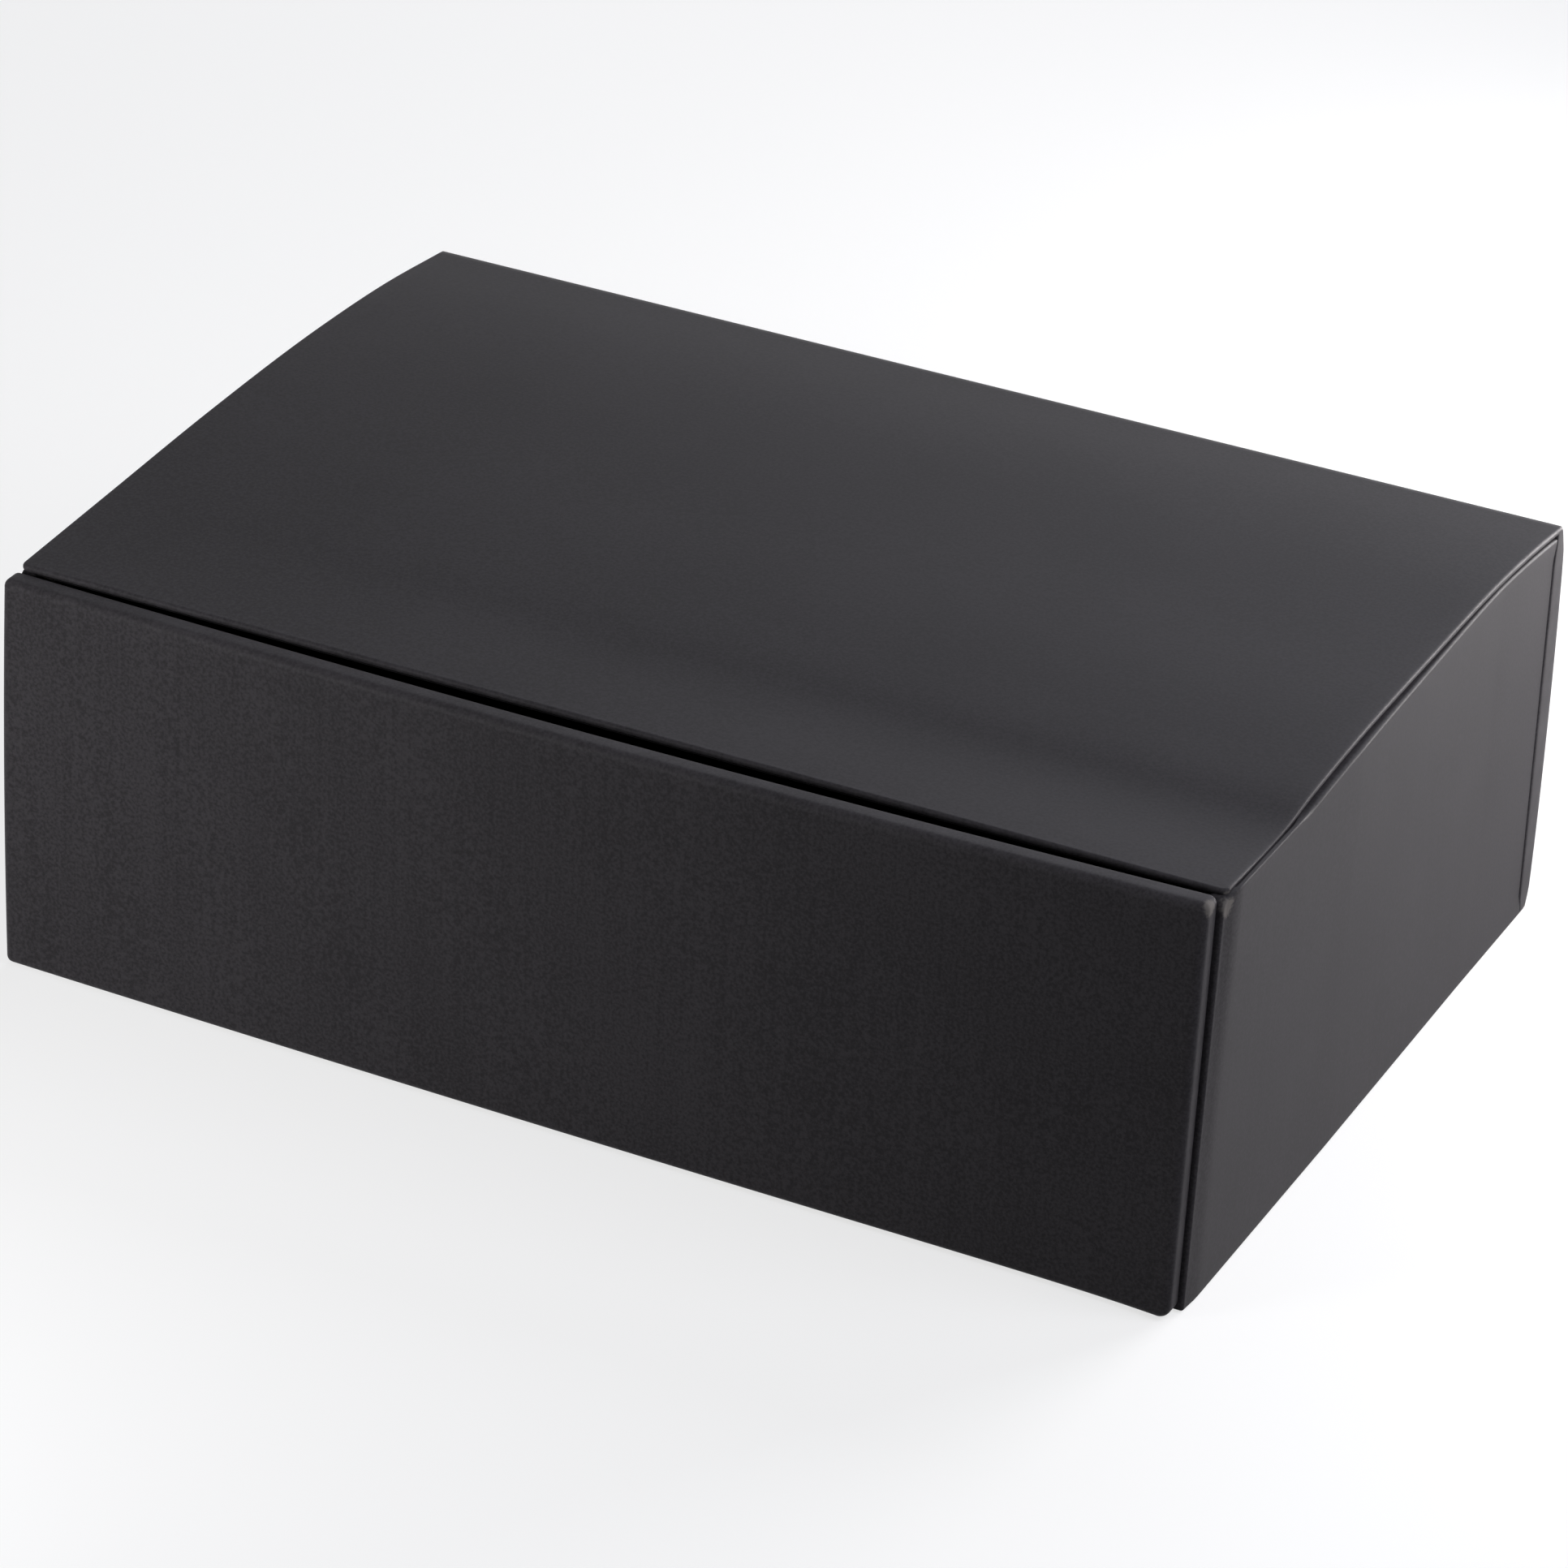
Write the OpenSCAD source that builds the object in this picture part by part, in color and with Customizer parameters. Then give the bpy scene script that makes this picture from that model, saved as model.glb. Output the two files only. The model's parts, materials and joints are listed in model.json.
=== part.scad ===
// Sliding drawer gift box: a paper-wrapped board case, open at the front, and a drawer
// whose tray hides inside it behind a full-height front panel.
// X runs along the long front, Y runs from the front to the back, Z is up.
// The origin is the centre of the case's underside. All sizes are in millimetres.

/* [Case] */
// Outer width of the case, along the front
case_w = 220; // [120:1:320]
// Outer depth of the case, without the front panel
case_d = 148; // [100:1:240]
// Outer height of the case at its top board's corners
case_h = 75.5; // [40:0.5:140]
// Thickness of the greyboard in the case's walls, back and base
case_board_t = 2.6; // [1.6:0.1:4]
// Thickness of the thinner greyboard in the case's top
top_board_t = 1; // [0.6:0.1:3]

/* [Bow of the top board] */
// Rise of the bowed top board above its corners
top_bow = 2.6; // [0.5:0.1:6]
// Flat stretch of the top board behind its front edge
front_land = 27; // [10:1:45]

/* [Corners] */
// Radius of the boards' corners, crushed round under the paper
corner_r = 1.2; // [0.4:0.1:3]

/* [Papers] */
// Thickness of the outer wrapping paper
wrap_t = 0.2; // [0.1:0.05:0.4]
// Thickness of the lining paper
liner_t = 0.2; // [0.1:0.05:0.4]
// Thickness of the stay tape on the tray's corners
stay_t = 0.1; // [0.05:0.05:0.2]
// Length of each leg of a corner stay
stay_leg = 18; // [8:1:30]
// How far the tray's wrap turns down inside its rim
rim_turn = 9; // [4:1:20]

/* [Front panel] */
// Thickness of the front panel's greyboard
panel_board_t = 3.8; // [2:0.1:5]
// How far the panel's top edge is below the case's top
panel_drop = 0.6; // [0.1:0.1:2]
// Gap under the panel's bottom edge
panel_lift = 0.3; // [0.3:0.1:1]
// How much narrower the panel is than the case
panel_trim = 0.2; // [0:0.1:2]

/* [Tray] */
// Thickness of the greyboard in the tray
tray_board_t = 2.0; // [1.2:0.1:3]

/* [Fit of the drawer] */
// Mean gap between the front panel and the case's front edge, at rest
front_gap = 1.3; // [1.3:0.1:4]
// Play on each side of the tray
side_play = 1.0; // [0.6:0.1:1.1]
// Least gap left at the tray's corners when it sits askew in its play
corner_clear = 0.4; // [0.3:0.1:0.5]
// Gap under the tray
tray_lift = 0.3; // [0.3:0.1:1]
// Gap above the tray's rim
tray_headroom = 0.9; // [0.3:0.1:3]
// Gap behind the tray's rearmost corner, at rest
rear_clear = 0.3; // [0.3:0.1:2]

/* [Hidden] */

black_paper = "#242226";
lining_paper = "#1b1a1d";
greyboard = "#8c8984";
kraft_tape = "#a98a60";

// A cut runs this far past the solid that it opens
past = 1;
// Facets of the large circle of the top board's bow
bow_fn = 720;
// Facets of a rounded corner
corner_fn = 32;

// Case, from the outside in: wrap, board, liner
case_wall = wrap_t + case_board_t + liner_t;
case_front = -case_d / 2;
case_back = case_d / 2;
board_out_x = case_w / 2 - wrap_t;
board_in_x = board_out_x - case_board_t;
room_x = case_w / 2 - case_wall;
board_front = case_front + wrap_t;
back_board_out = case_back - wrap_t;
back_board_in = back_board_out - case_board_t;
room_back = case_back - case_wall;
base_top = wrap_t + case_board_t;
room_floor = base_top + liner_t;
top_under = case_h - wrap_t - top_board_t;
room_ceiling = top_under - liner_t;

// Bow of the top board: an arc between the front land and the back wall
bow_from = case_front + front_land;
bow_chord = room_back - bow_from;
bow_r = (bow_chord * bow_chord / 4 + top_bow * top_bow) / (2 * top_bow);
bow_mid = bow_from + bow_chord / 2;

// Drawer, drawn straight and then turned by its skew
drawer_skew = atan(2 * (side_play - corner_clear) / (case_d - case_wall + front_gap));
tray_w = 2 * (room_x - side_play);
tray_front = case_front - front_gap;
tray_back = room_back - rear_clear - tray_w / 2 * sin(drawer_skew);
tray_low = room_floor + tray_lift;
tray_rim = room_ceiling - tray_headroom;
wall_out_x = tray_w / 2 - wrap_t;
wall_in_x = wall_out_x - tray_board_t;
inside_x = wall_in_x - liner_t;
wall_low = tray_low + wrap_t;
wall_high = tray_rim - wrap_t;
tray_floor = wall_low + tray_board_t;
wrap_turned_to = tray_rim - rim_turn;

// Front panel, from the outside in: wrap, board, backing
panel_back = tray_front;
panel_board_back = panel_back - liner_t;
panel_board_front = panel_board_back - panel_board_t;
panel_front = panel_board_front - wrap_t;
panel_x = (case_w - panel_trim) / 2;
panel_low = panel_lift;
panel_high = case_h - panel_drop;

echo(drawer_skew = drawer_skew, tray_depth = tray_back - tray_front, bow_radius = bow_r);

// A block between its lowest and its highest corner
module block(low, high) {
    translate(low) cube(high - low);
}

// Outline of a board between two corners, rounded at its near end or at both ends
module outline(low, high, r, both_ends) {
    far_r = both_ends ? r : 0;
    size = high - low;
    translate([low[0] + r, low[1]]) square([size[0] - r - far_r, size[1]]);
    translate([low[0], low[1] + r]) square([size[0], size[1] - 2 * r]);
    for (b = [low[1] + r, high[1] - r]) {
        translate([low[0] + r, b]) circle(r = r, $fn = corner_fn);
        if (both_ends) translate([high[0] - r, b]) circle(r = r, $fn = corner_fn);
    }
}

// An upright plate along X: X and Z of two corners, its front and back, corner radius
module cross_plate(low, high, front, back, r) {
    translate([0, back, 0])
        rotate([90, 0, 0])
            linear_extrude(back - front)
                outline(low, high, r, true);
}

// An upright plate along Y: Y and Z of two corners, its inner and outer X, and the radius
// of its top front corner
module side_plate(low, high, in_x, out_x, r) {
    size = high - low;
    translate([in_x, 0, 0])
        rotate([90, 0, 90])
            linear_extrude(out_x - in_x) {
                translate([low[0] + r, low[1]]) square([size[0] - r, size[1]]);
                translate(low) square([size[0], size[1] - r]);
                translate([low[0] + r, high[1] - r]) circle(r = r, $fn = corner_fn);
            }
}

// Keeps what lies inside the case's plan, rounded at its two front corners
module front_corners_cut(half_w, front, r) {
    intersection() {
        children();
        translate([0, 0, -past])
            rotate([0, 0, 90])
                linear_extrude(case_h + top_bow + 2 * past)
                    outline([front, -half_w], [case_d, half_w], r, false);
    }
}

// Four upright sides of a tray layer: half width out, thickness, front, back, low, high
module upright_ring(out_x, t, front, back, low, high) {
    difference() {
        block([-out_x, front, low], [out_x, back, high]);
        block([-out_x + t, front + t, low - past], [out_x - t, back - t, high + past]);
    }
}

// Profile in Y and Z of one layer of the bowed top, from a drop below its outer face
module top_layer_profile(front, back, drop, thick) {
    high = case_h - drop;
    translate([front, high - thick]) square([bow_from - front, thick]);
    translate([room_back, high - thick]) square([back - room_back, thick]);
    intersection() {
        translate([bow_from, high - thick - past])
            square([bow_chord, thick + top_bow + 2 * past]);
        difference() {
            translate([bow_mid, high + top_bow - bow_r]) circle(r = bow_r, $fn = bow_fn);
            translate([bow_mid, high - thick + top_bow - bow_r])
                circle(r = bow_r, $fn = bow_fn);
        }
    }
}

// One layer of the bowed top, as a solid that is centred on X
module top_layer(half_w, front, back, drop, thick) {
    translate([-half_w, 0, 0])
        rotate([90, 0, 90])
            linear_extrude(2 * half_w)
                top_layer_profile(front, back, drop, thick);
}

// Case: boards

module case_top_board() {
    color(greyboard)
        front_corners_cut(board_out_x, board_front, corner_r)
            top_layer(board_out_x, board_front, back_board_out, wrap_t, top_board_t);
}

module case_base_board() {
    color(greyboard)
        block([-board_in_x, board_front, wrap_t], [board_in_x, back_board_in, base_top]);
}

module case_back_board() {
    color(greyboard)
        block([-board_out_x, back_board_in, wrap_t], [board_out_x, back_board_out, top_under]);
}

module case_right_board() {
    color(greyboard)
        side_plate([board_front, wrap_t], [back_board_in, top_under - wrap_t],
                   board_in_x, board_out_x, corner_r);
}

module case_left_board() {
    mirror([1, 0, 0]) case_right_board();
}

// Case: papers

// One sheet over the top and down the back, turned over the edges of both boards
module case_wrap() {
    color(black_paper)
        difference() {
            union() {
                front_corners_cut(case_w / 2, case_front, corner_r + wrap_t)
                    top_layer(case_w / 2, case_front, case_back, 0, wrap_t + top_board_t);
                block([-case_w / 2, back_board_in, wrap_t],
                      [case_w / 2, case_back, top_under]);
            }
            front_corners_cut(board_out_x, board_front, corner_r)
                top_layer(board_out_x, board_front, back_board_out, wrap_t, top_board_t);
            block([-board_out_x, back_board_in - past, wrap_t - past],
                  [board_out_x, back_board_out, top_under]);
        }
}

module case_base_sheet() {
    color(black_paper)
        block([-case_w / 2, case_front, 0], [case_w / 2, case_back, wrap_t]);
}

// Paper on a side board's outer face, turned over its top and front edges
module case_right_wrap() {
    color(black_paper)
        difference() {
            side_plate([case_front, wrap_t], [back_board_in, top_under],
                       board_in_x, case_w / 2, corner_r + wrap_t);
            side_plate([board_front, wrap_t - past],
                       [back_board_in + past, top_under - wrap_t],
                       board_in_x - past, board_out_x, corner_r);
        }
}

module case_left_wrap() {
    mirror([1, 0, 0]) case_right_wrap();
}

module case_top_liner() {
    color(lining_paper)
        top_layer(board_in_x, board_front, back_board_in, wrap_t + top_board_t, liner_t);
}

// Paper on the case's floor, turned down over the base board's front edge
module case_base_liner() {
    color(lining_paper) {
        block([-room_x, case_front, base_top], [room_x, room_back, room_floor]);
        block([-board_in_x, case_front, wrap_t], [board_in_x, board_front, base_top]);
    }
}

module case_back_liner() {
    color(lining_paper)
        block([-room_x, room_back, base_top], [room_x, back_board_in, room_ceiling]);
}

module case_right_liner() {
    color(lining_paper)
        block([room_x, case_front, base_top], [board_in_x, back_board_in, room_ceiling]);
}

module case_left_liner() {
    mirror([1, 0, 0]) case_right_liner();
}

// Drawer: everything that slides, turned in the case's play about the case's middle

module in_drawer() {
    rotate([0, 0, -drawer_skew]) children();
}

module front_panel_board() {
    color(greyboard)
        in_drawer()
            cross_plate([-panel_x + wrap_t, panel_low + wrap_t],
                        [panel_x - wrap_t, panel_high - wrap_t],
                        panel_board_front, panel_board_back, corner_r);
}

// Paper on the panel's face, turned over its four edges
module front_panel_wrap() {
    color(black_paper)
        in_drawer()
            difference() {
                cross_plate([-panel_x, panel_low], [panel_x, panel_high],
                            panel_front, panel_board_back, corner_r + wrap_t);
                cross_plate([-panel_x + wrap_t, panel_low + wrap_t],
                            [panel_x - wrap_t, panel_high - wrap_t],
                            panel_board_front, panel_board_back + past, corner_r);
            }
}

module front_panel_backing() {
    color(lining_paper)
        in_drawer()
            cross_plate([-panel_x, panel_low], [panel_x, panel_high],
                        panel_board_back, panel_back, corner_r + wrap_t);
}

// The four stays, each an angle of tape round a corner of the tray's boards
module stays_shape() {
    difference() {
        upright_ring(wall_out_x, stay_t, tray_front + wrap_t, tray_back - wrap_t,
                     wall_low, wall_high);
        block([-wall_out_x + stay_leg, tray_front - past, wall_low - past],
              [wall_out_x - stay_leg, tray_back + past, wall_high + past]);
        block([-tray_w, tray_front + wrap_t + stay_leg, wall_low - past],
              [tray_w, tray_back - wrap_t - stay_leg, wall_high + past]);
    }
}

module tray_corner_stays() {
    color(kraft_tape) in_drawer() stays_shape();
}

module tray_right_wall() {
    color(greyboard)
        in_drawer()
            difference() {
                block([wall_in_x, tray_front + wrap_t, wall_low],
                      [wall_out_x, tray_back - wrap_t, wall_high]);
                stays_shape();
            }
}

module tray_left_wall() {
    color(greyboard)
        in_drawer()
            difference() {
                block([-wall_out_x, tray_front + wrap_t, wall_low],
                      [-wall_in_x, tray_back - wrap_t, wall_high]);
                stays_shape();
            }
}

// A wall across the tray, between the side walls, with its front face at y
module cross_wall(y) {
    color(greyboard)
        in_drawer()
            difference() {
                block([-wall_in_x, y, wall_low], [wall_in_x, y + tray_board_t, wall_high]);
                stays_shape();
            }
}

module tray_front_wall() {
    cross_wall(tray_front + wrap_t);
}

module tray_back_wall() {
    cross_wall(tray_back - wrap_t - tray_board_t);
}

module tray_base_board() {
    color(greyboard)
        in_drawer()
            block([-wall_in_x, tray_front + wrap_t + tray_board_t, wall_low],
                  [wall_in_x, tray_back - wrap_t - tray_board_t, tray_floor]);
}

// Paper round the tray's four outer faces, over the rim and down inside it
module tray_wrap() {
    color(black_paper)
        in_drawer()
            difference() {
                upright_ring(tray_w / 2, wrap_t + tray_board_t + liner_t,
                             tray_front, tray_back, tray_low, tray_rim);
                upright_ring(wall_out_x, tray_board_t, tray_front + wrap_t,
                             tray_back - wrap_t, tray_low - past, wall_high);
                upright_ring(wall_in_x + past / 2, liner_t + past,
                             tray_front + wrap_t + tray_board_t - past / 2,
                             tray_back - wrap_t - tray_board_t + past / 2,
                             tray_low - past, wrap_turned_to);
            }
}

module tray_base_sheet() {
    color(black_paper)
        in_drawer()
            block([-wall_out_x, tray_front + wrap_t, tray_low],
                  [wall_out_x, tray_back - wrap_t, wall_low]);
}

module tray_wall_liner() {
    color(lining_paper)
        in_drawer()
            upright_ring(wall_in_x, liner_t, tray_front + wrap_t + tray_board_t,
                         tray_back - wrap_t - tray_board_t, tray_floor, wrap_turned_to);
}

module tray_floor_liner() {
    color(lining_paper)
        in_drawer()
            block([-inside_x, tray_front + wrap_t + tray_board_t + liner_t, tray_floor],
                  [inside_x, tray_back - wrap_t - tray_board_t - liner_t,
                   tray_floor + liner_t]);
}

case_top_board();
case_base_board();
case_back_board();
case_left_board();
case_right_board();
case_wrap();
case_base_sheet();
case_left_wrap();
case_right_wrap();
case_top_liner();
case_base_liner();
case_back_liner();
case_left_liner();
case_right_liner();
front_panel_board();
front_panel_wrap();
front_panel_backing();
tray_base_board();
tray_front_wall();
tray_back_wall();
tray_left_wall();
tray_right_wall();
tray_wrap();
tray_base_sheet();
tray_wall_liner();
tray_floor_liner();
tray_corner_stays();
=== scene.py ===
# %% [markdown]
# # A black paper-wrapped gift box with a sliding drawer
# The real box is made of greyboard plates that are wrapped in thin black paper. Everything that
# the eye sees is therefore paper: flat faces, soft folds over the boards' edges, and the dark
# gaps between one wrapped plate and the next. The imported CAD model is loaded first, as the fixed
# frame. Its boards and most linings stay as they are. The papers, and the boards that warp
# with them, are new surfaces that stand for their CAD nodes.

# %% Load the frame
import math

import bpy
import numpy as np
from mathutils import Matrix, Vector
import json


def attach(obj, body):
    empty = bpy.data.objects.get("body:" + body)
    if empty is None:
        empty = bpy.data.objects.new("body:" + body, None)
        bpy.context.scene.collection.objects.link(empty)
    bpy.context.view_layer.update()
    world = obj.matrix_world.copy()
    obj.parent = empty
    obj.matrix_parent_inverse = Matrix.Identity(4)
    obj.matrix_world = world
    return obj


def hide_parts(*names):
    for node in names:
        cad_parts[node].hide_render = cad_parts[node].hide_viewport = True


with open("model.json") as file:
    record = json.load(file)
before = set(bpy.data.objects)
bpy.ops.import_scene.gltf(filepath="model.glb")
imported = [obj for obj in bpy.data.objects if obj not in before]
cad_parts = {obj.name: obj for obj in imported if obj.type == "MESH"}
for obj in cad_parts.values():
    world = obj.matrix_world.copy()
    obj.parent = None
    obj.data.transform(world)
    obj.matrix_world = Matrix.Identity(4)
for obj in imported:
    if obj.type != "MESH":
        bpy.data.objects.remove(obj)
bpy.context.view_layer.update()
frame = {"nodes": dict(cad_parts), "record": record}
scene = bpy.context.scene
mm = 0.001

# %% [markdown]
# ## Camera
# The photograph was taken with a long lens from the front right and from above. A fit to the
# box's corners gave the angles, the distance and the focal length in pixels of the photograph.
# The camera is built from those values, so it needs no shift: the small turn of the picture is
# a roll about the line of sight.

# %% Camera
photo_side_px = 1932
focal_px = 9000
sensor_mm = 36
camera_azimuth = math.radians(24.88)
camera_elevation = math.radians(28.44)
camera_roll = math.radians(2.74)
camera_distance = 1.264
camera_target = Vector((-0.0015, 0, 0.0290))

towards_camera = Vector((math.sin(camera_azimuth) * math.cos(camera_elevation),
                         -math.cos(camera_azimuth) * math.cos(camera_elevation),
                         math.sin(camera_elevation)))
level_right = Vector((math.cos(camera_azimuth), math.sin(camera_azimuth), 0))
level_up = towards_camera.cross(level_right)
picture_right = math.cos(camera_roll) * level_right + math.sin(camera_roll) * level_up
picture_up = math.cos(camera_roll) * level_up - math.sin(camera_roll) * level_right

camera_data = bpy.data.cameras.new("camera")
camera_data.sensor_width = sensor_mm
camera_data.lens = focal_px / photo_side_px * sensor_mm
camera_data.clip_start = 0.05
camera_data.clip_end = 30
camera = bpy.data.objects.new("camera", camera_data)
scene.collection.objects.link(camera)
axes = Matrix((picture_right, picture_up, towards_camera)).transposed()
camera.matrix_world = Matrix.LocRotScale(
    camera_target + camera_distance * towards_camera, axes.to_quaternion(), None)
scene.camera = camera
scene.view_settings.view_transform = "Standard"
print("lens:", round(camera_data.lens, 1), "mm at", [round(v, 3) for v in camera.location])

# %% [markdown]
# ## Helpers for shader nodes
# Every material here is a small tree of nodes. One helper adds a node with its settings and
# plugs its inputs, and another makes a node group, which is an effect that several materials
# share. A group puts out masks, tones and heights only. The Principled shader, with its plain
# numbers, stays in each material.

# %% Node helpers
def put(tree, kind, inputs=None, **settings):
    """Adds a node. An input takes a number, a colour or another node's output socket."""
    node = tree.nodes.new(kind)
    for name, value in settings.items():
        setattr(node, name, value)
    for name, value in (inputs or {}).items():
        if isinstance(value, bpy.types.NodeSocket):
            tree.links.new(value, node.inputs[name])
        else:
            node.inputs[name].default_value = value
    return node


def maths(tree, operation, *values):
    """One Math node on one, two or three values, clamped nowhere."""
    node = put(tree, "ShaderNodeMath", dict(enumerate(values)), operation=operation)
    return node.outputs[0]


def ramp(tree, value, low, high, to_low=0.0, to_high=1.0):
    """Carries value smoothly from the range low to high onto to_low to to_high."""
    node = put(tree, "ShaderNodeMapRange",
               {"Value": value, "From Min": low, "From Max": high,
                "To Min": to_low, "To Max": to_high},
               interpolation_type="SMOOTHSTEP")
    return node.outputs["Result"]


def new_group(name, inputs, outputs):
    """An empty shader group with named inputs, each with its usual value, and outputs."""
    group = bpy.data.node_groups.new(name, "ShaderNodeTree")
    for label, kind, value in inputs:
        socket = group.interface.new_socket(name=label, in_out="INPUT", socket_type=kind)
        if value is not None:
            socket.default_value = value
    for label, kind in outputs:
        group.interface.new_socket(name=label, in_out="OUTPUT", socket_type=kind)
    return group, put(group, "NodeGroupInput").outputs, put(group, "NodeGroupOutput").inputs


def use_group(tree, group, inputs):
    """Places a group in a material with its own values, and returns its outputs."""
    node = put(tree, "ShaderNodeGroup", node_tree=group)
    for name, value in inputs.items():
        if isinstance(value, bpy.types.NodeSocket):
            tree.links.new(value, node.inputs[name])
        else:
            node.inputs[name].default_value = value
    return node.outputs


def mix_colour(tree, factor, first, second):
    """Blends two colours by a mask."""
    node = put(tree, "ShaderNodeMix", data_type="RGBA")
    for index, value in ((0, factor), (6, first), (7, second)):
        if isinstance(value, bpy.types.NodeSocket):
            tree.links.new(value, node.inputs[index])
        else:
            node.inputs[index].default_value = value
    return node.outputs[2]


print("node helpers are ready")

# %% [markdown]
# ## Stage and light
# The photograph is a cut-out on pure white, lit softly from the back right, so that the right
# side is the palest face and the front the darkest. A dark matte object shows mostly the
# reflection of what is around it, so large soft lamps are placed where each face mirrors them,
# at a plain level. The floor and the world look white to the camera and to reflections only,
# which leaves the light on the box alone and keeps its soft shadow.

# %% Stage
floor_reach = 4.0
white = (1, 1, 1, 1)


def seen_directly(tree):
    """A mask of 1 for rays from the camera, in reflections and through glass."""
    path = put(tree, "ShaderNodeLightPath").outputs
    either = maths(tree, "MAXIMUM", path["Is Camera Ray"], path["Is Glossy Ray"])
    return maths(tree, "MAXIMUM", either, path["Is Transmission Ray"])


def floor_material():
    """A pale matte floor, lifted towards white where it is seen, so that its shadow stays."""
    material = bpy.data.materials.new("pale_floor")
    material.use_nodes = True
    tree = material.node_tree
    tree.nodes.clear()
    shade = ramp(tree, seen_directly(tree), 0, 1, 0.35, 0.80)
    matte = put(tree, "ShaderNodeBsdfDiffuse", {"Color": shade})
    glow = put(tree, "ShaderNodeEmission", {"Color": white, "Strength": 1.25})
    share = maths(tree, "MULTIPLY", seen_directly(tree), 0.55)
    mixed = put(tree, "ShaderNodeMixShader", {0: share, 1: matte.outputs[0], 2: glow.outputs[0]})
    put(tree, "ShaderNodeOutputMaterial", {"Surface": mixed.outputs[0]})
    return material


floor_mesh = bpy.data.meshes.new("floor")
floor_mesh.from_pydata(
    [(x * floor_reach, y * floor_reach, 0) for x, y in ((-1, -1), (1, -1), (1, 1), (-1, 1))],
    [], [(0, 1, 2, 3)])
floor_mesh.materials.append(floor_material())
floor = bpy.data.objects.new("floor", floor_mesh)
scene.collection.objects.link(floor)

world_level = 0.02
world = bpy.data.worlds.new("studio")
world.use_nodes = True
world.node_tree.nodes.clear()
world_share = ramp(world.node_tree, seen_directly(world.node_tree), 0, 1, world_level, 1.0)
world_light = put(world.node_tree, "ShaderNodeBackground",
                  {"Color": white, "Strength": world_share})
put(world.node_tree, "ShaderNodeOutputWorld", {"Surface": world_light.outputs[0]})
scene.world = world
print("stage: floor of", 2 * floor_reach, "m and a white world")


# %% Lamps
def softbox(name, place, aim, width, height, power, colour):
    """A soft area lamp at a place in metres, turned towards a point."""
    data = bpy.data.lights.new(name, "AREA")
    data.shape = "RECTANGLE"
    data.size = width
    data.size_y = height
    data.energy = power
    data.color = colour
    lamp = bpy.data.objects.new(name, data)
    lamp.location = place
    direction = Vector(aim) - Vector(place)
    lamp.rotation_mode = "QUATERNION"
    lamp.rotation_quaternion = direction.to_track_quat("-Z", "Y")
    lamp.visible_camera = False
    scene.collection.objects.link(lamp)
    return lamp


cool = (0.96, 0.98, 1.06)
warm = (1.03, 0.99, 0.99)
softbox("back_high", (0.0, 1.0, 0.9), (0.0, 0.0, 0.06), 1.0, 0.8, 6.0, cool)
softbox("back_top", (0.25, 0.9, 0.5), (0.05, 0.0, 0.07), 0.8, 0.5, 1.6, cool)
softbox("top_right", (0.38, -0.06, 0.38), (0.10, -0.02, 0.07), 0.3, 0.3, 1.1, cool)
softbox("near_left", (-0.18, -0.36, 0.10), (-0.26, -0.08, 0.05), 0.2, 0.2, 1.0, white[:3])
softbox("right_back_low", (0.25, 0.36, 0.08), (0.11, 0.0, 0.04), 0.25, 0.15, 2.9, warm)

# %% [markdown]
# ## Paper grain
# Wrapping paper looks flat from afar, but close up it has a fine tooth, faint streaks along the
# way it was rolled, and slow clouds where the glue is thicker. All three are noise at three
# scales. The streaks are noise squeezed along the upright, so they run up and down on the
# sides and turn into more tooth on the top.

# %% Paper grain group
def make_grain_group():
    """Three noises on Object coordinates: fine tooth, upright streaks and wide clouds."""
    group, given, out = new_group(
        "paper_grain",
        [("Tooth per metre", "NodeSocketFloat", 1700.0),
         ("Streaks per metre", "NodeSocketFloat", 900.0),
         ("Clouds per metre", "NodeSocketFloat", 35.0)],
        [("Tooth", "NodeSocketFloat"), ("Streaks", "NodeSocketFloat"),
         ("Clouds", "NodeSocketFloat")])
    place = put(group, "ShaderNodeTexCoord").outputs["Object"]
    tooth = put(group, "ShaderNodeTexNoise",
                {"Vector": place, "Scale": given["Tooth per metre"], "Detail": 3.0,
                 "Roughness": 0.6})
    along = put(group, "ShaderNodeMapping", {"Vector": place, "Scale": (1.0, 1.0, 0.02)})
    streaks = put(group, "ShaderNodeTexNoise",
                  {"Vector": along.outputs[0], "Scale": given["Streaks per metre"],
                   "Detail": 3.0, "Roughness": 0.55})
    clouds = put(group, "ShaderNodeTexNoise",
                 {"Vector": place, "Scale": given["Clouds per metre"], "Detail": 2.0})
    group.links.new(tooth.outputs["Fac"], out["Tooth"])
    group.links.new(streaks.outputs["Fac"], out["Streaks"])
    group.links.new(clouds.outputs["Fac"], out["Clouds"])
    return group


grain_group = make_grain_group()
print("group:", grain_group.name)
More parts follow.
